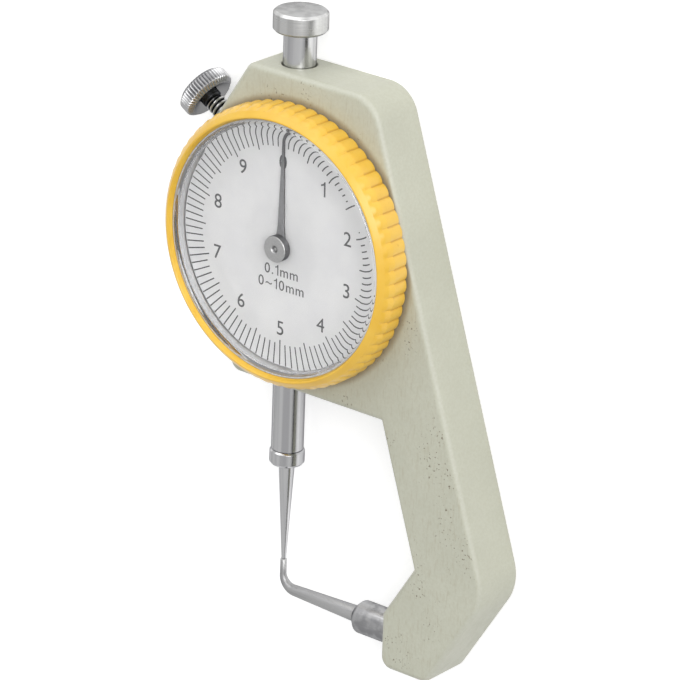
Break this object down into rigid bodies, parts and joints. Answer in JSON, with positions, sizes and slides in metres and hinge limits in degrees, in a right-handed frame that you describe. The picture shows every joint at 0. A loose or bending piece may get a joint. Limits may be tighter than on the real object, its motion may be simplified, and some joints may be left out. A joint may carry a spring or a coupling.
{
  "type": "dental thickness caliper",
  "caption": "Pocket dial thickness caliper for dental work: sprung spindle with rack-driven pointer, turning bezel, offset jaw with bent anvil tip.",
  "frame": {"origin": "on the flat back face of the frame, straight behind the dial's centre; the caliper lies on its back", "axes": "+Z out of the dial, +Y along the spindle towards the lift button, +X towards the side of the jaw's arm"},
  "size_m": [0.0528, 0.0821, 0.0126],
  "materials": {
    "painted_frame": "satin olive cream paint, faintly streaked and speckled",
    "ground_steel": "fine ground steel",
    "turned_steel": "turned steel with fine rings",
    "spring_steel": "dark drawn spring steel",
    "brass": "turned brass",
    "needle_grey": "dark grey satin",
    "bezel_yellow": "moulded yellow plastic, half gloss",
    "dial_white": "matt pale grey, printed",
    "crystal_clear": "clear moulded acrylic"
  },
  "bodies": {
    "housing": {"frame": "painted_frame", "back_cover": "painted_frame", "cover_screw_1": "turned_steel", "cover_screw_2": "turned_steel", "cover_screw_3": "turned_steel", "upper_bush": "brass", "lower_bush": "brass", "spring_post": "brass", "return_spring": "spring_steel", "movement_bridge": "brass", "bridge_screw_1": "turned_steel", "bridge_screw_2": "turned_steel", "bridge_screw_3": "turned_steel", "rear_cock": "brass", "cock_pillar_1": "brass", "cock_pillar_2": "brass", "cock_screw_1": "turned_steel", "cock_screw_2": "turned_steel", "hairspring": "spring_steel", "hairspring_stud": "brass", "bezel_snap_ring": "spring_steel", "anvil_holder": "turned_steel", "anvil_pin": "ground_steel", "anvil_grub_screw": "spring_steel"},
    "spindle_body": {"spindle": "ground_steel", "lift_button": "turned_steel", "contact_probe": "turned_steel", "guide_pin": "ground_steel", "spring_arm": "brass"},
    "pointer_body": {"centre_arbor": "ground_steel", "rack_pinion": "brass", "hairspring_collet": "brass", "pointer_hub": "turned_steel", "pointer_needle": "needle_grey"},
    "bezel_body": {"bezel": "bezel_yellow", "dial": "dial_white", "crystal": "crystal_clear"},
    "lock_pad_body": {"lock_pad": "brass"},
    "lock_screw_body": {"lock_screw": "turned_steel"}
  },
  "joints": [
    {"name": "spindle_slide", "type": "slide", "parent": "housing", "child": "spindle_body", "axis": [0, 1, 0], "range_m": [0, 0.01], "stiffness_N_per_m": 60, "springref_m": -0.01, "deforming": ["return_spring"]},
    {"name": "pointer_turn", "type": "hinge", "parent": "housing", "child": "pointer_body", "pos_m": [0, 0, 0.0037], "axis": [0, 0, 1], "range_deg": [-362, 2]},
    {"name": "bezel_turn", "type": "hinge", "parent": "housing", "child": "bezel_body", "pos_m": [0, 0, 0.0082], "axis": [0, 0, 1], "continuous": true},
    {"name": "lock_pad_slide", "type": "slide", "parent": "housing", "child": "lock_pad_body", "axis": [0.8434, -0.5373, 0], "range_m": [0, 0.00045]},
    {"name": "lock_screw_turn", "type": "hinge", "parent": "lock_pad_body", "child": "lock_screw_body", "pos_m": [-0.01442, 0.0118, 0.0037], "axis": [0.8434, -0.5373, 0], "range_deg": [-2, 362]}
  ],
  "couplings": [
    {"joint": "pointer_turn", "follows": "spindle_slide", "rad_per_m": -628.32},
    {"joint": "lock_screw_turn", "follows": "lock_pad_slide", "rad_per_m": 13963}
  ]
}
